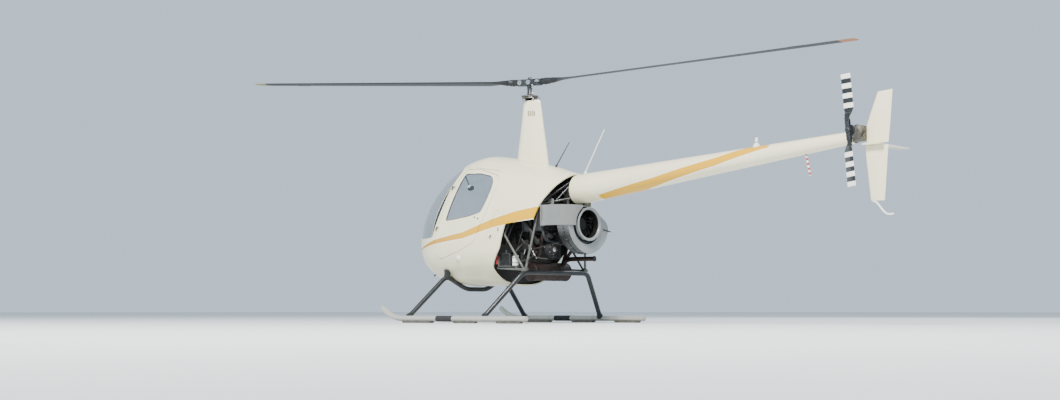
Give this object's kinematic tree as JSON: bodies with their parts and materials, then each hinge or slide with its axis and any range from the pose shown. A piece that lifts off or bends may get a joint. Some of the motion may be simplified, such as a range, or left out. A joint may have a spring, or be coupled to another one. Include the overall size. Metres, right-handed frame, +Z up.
{
  "type": "light two-seat helicopter",
  "caption": "Small two-seat helicopter with a bubble cabin, open engine bay with fan housing, slim cone tail boom and skid landing gear.",
  "frame": {"origin": "floor under the skids, midway between the fore and aft ends of the whole aircraft, on its centre plane", "axes": "+X towards the nose, +Y to the port side, +Z up"},
  "size_m": [8.4776, 2.0158, 2.8862],
  "materials": {
    "body_paint": "cream gloss paint over thin panels",
    "clear_glazing": "clear acrylic",
    "cabin_trim": "grey lining",
    "cushion_cover": "woven cover over foam",
    "instrument_black": "wrinkle black",
    "bare_alloy": "cast or sheet alloy, dull",
    "fan_grey": "grey paint on sheet alloy",
    "hub_steel": "satin steel",
    "main_blade_black": "matte dark paint",
    "tail_blade_paint": "black and white bands",
    "boom_paint": "cream gloss paint",
    "skid_paint": "worn pale paint",
    "tube_grey": "grey paint on steel tube",
    "engine_black": "black paint",
    "belt_rubber": "ribbed rubber",
    "exhaust_steel": "heat-browned steel",
    "canister_white": "pale plastic",
    "lamp_clear": "clear lens on a white foot",
    "aerial_white": "white",
    "aerial_dark": "dark",
    "rod_red": "red and white bands"
  },
  "bodies": {
    "airframe": {"cabin_shell": "body_paint", "rear_cowl": "body_paint", "mast_fairing": "body_paint", "windscreen_left": "clear_glazing", "windscreen_right": "clear_glazing", "bulkhead": "bare_alloy", "cabin_floor": "cabin_trim", "bench_box": "cabin_trim", "cushion_left": "cushion_cover", "cushion_right": "cushion_cover", "backrest_left": "cushion_cover", "backrest_right": "cushion_cover", "console": "instrument_black", "control_stick": "instrument_black", "main_gearbox": "bare_alloy", "swashplate": "bare_alloy", "tail_boom": "boom_paint", "tail_gearbox": "bare_alloy", "fin_upper": "body_paint", "fin_lower": "body_paint", "stabilizer": "body_paint", "tail_bumper": "tube_grey", "beacon": "lamp_clear", "antenna_white": "aerial_white", "antenna_dark": "aerial_dark", "striped_rod": "rod_red", "skid_left": "skid_paint", "skid_right": "skid_paint", "gear_front": "tube_grey", "gear_rear": "tube_grey", "frame_tubes": "tube_grey", "engine": "engine_black", "fan_scroll": "fan_grey", "fan_wheel": "bare_alloy", "cooling_duct": "fan_grey", "lower_sheave": "bare_alloy", "upper_sheave": "bare_alloy", "drive_belts": "belt_rubber", "oil_cooler": "bare_alloy", "canister": "canister_white", "muffler": "exhaust_steel", "air_box": "instrument_black"},
    "main_rotor": {"rotor_hub": "hub_steel", "main_blade_1": "main_blade_black", "main_blade_2": "main_blade_black"},
    "tail_rotor": {"tail_rotor_hub": "hub_steel", "tail_blade_1": "tail_blade_paint", "tail_blade_2": "tail_blade_paint"},
    "door_left_leaf": {"door_left": "body_paint", "door_window_left": "clear_glazing"},
    "door_right_leaf": {"door_right": "body_paint", "door_window_right": "clear_glazing"}
  },
  "joints": [
    {"name": "main_rotor_spin", "type": "hinge", "parent": "airframe", "child": "main_rotor", "pos_m": [0.50624, 0, 2.67], "axis": [0, 0, 1], "continuous": true},
    {"name": "tail_rotor_spin", "type": "hinge", "parent": "airframe", "child": "tail_rotor", "pos_m": [-3.88376, 0.21, 1.83], "axis": [0, 1, 0], "continuous": true},
    {"name": "door_left_hinge", "type": "hinge", "parent": "airframe", "child": "door_left_leaf", "pos_m": [1.45824, 0.533, 1.055], "axis": [0.3646, 0.158, -0.9176], "range_deg": [0, 80]},
    {"name": "door_right_hinge", "type": "hinge", "parent": "airframe", "child": "door_right_leaf", "pos_m": [1.45824, -0.533, 1.055], "axis": [-0.3646, 0.158, 0.9176], "range_deg": [0, 80]}
  ],
  "couplings": [
    {"joint": "tail_rotor_spin", "follows": "main_rotor_spin", "ratio": -6.65}
  ]
}
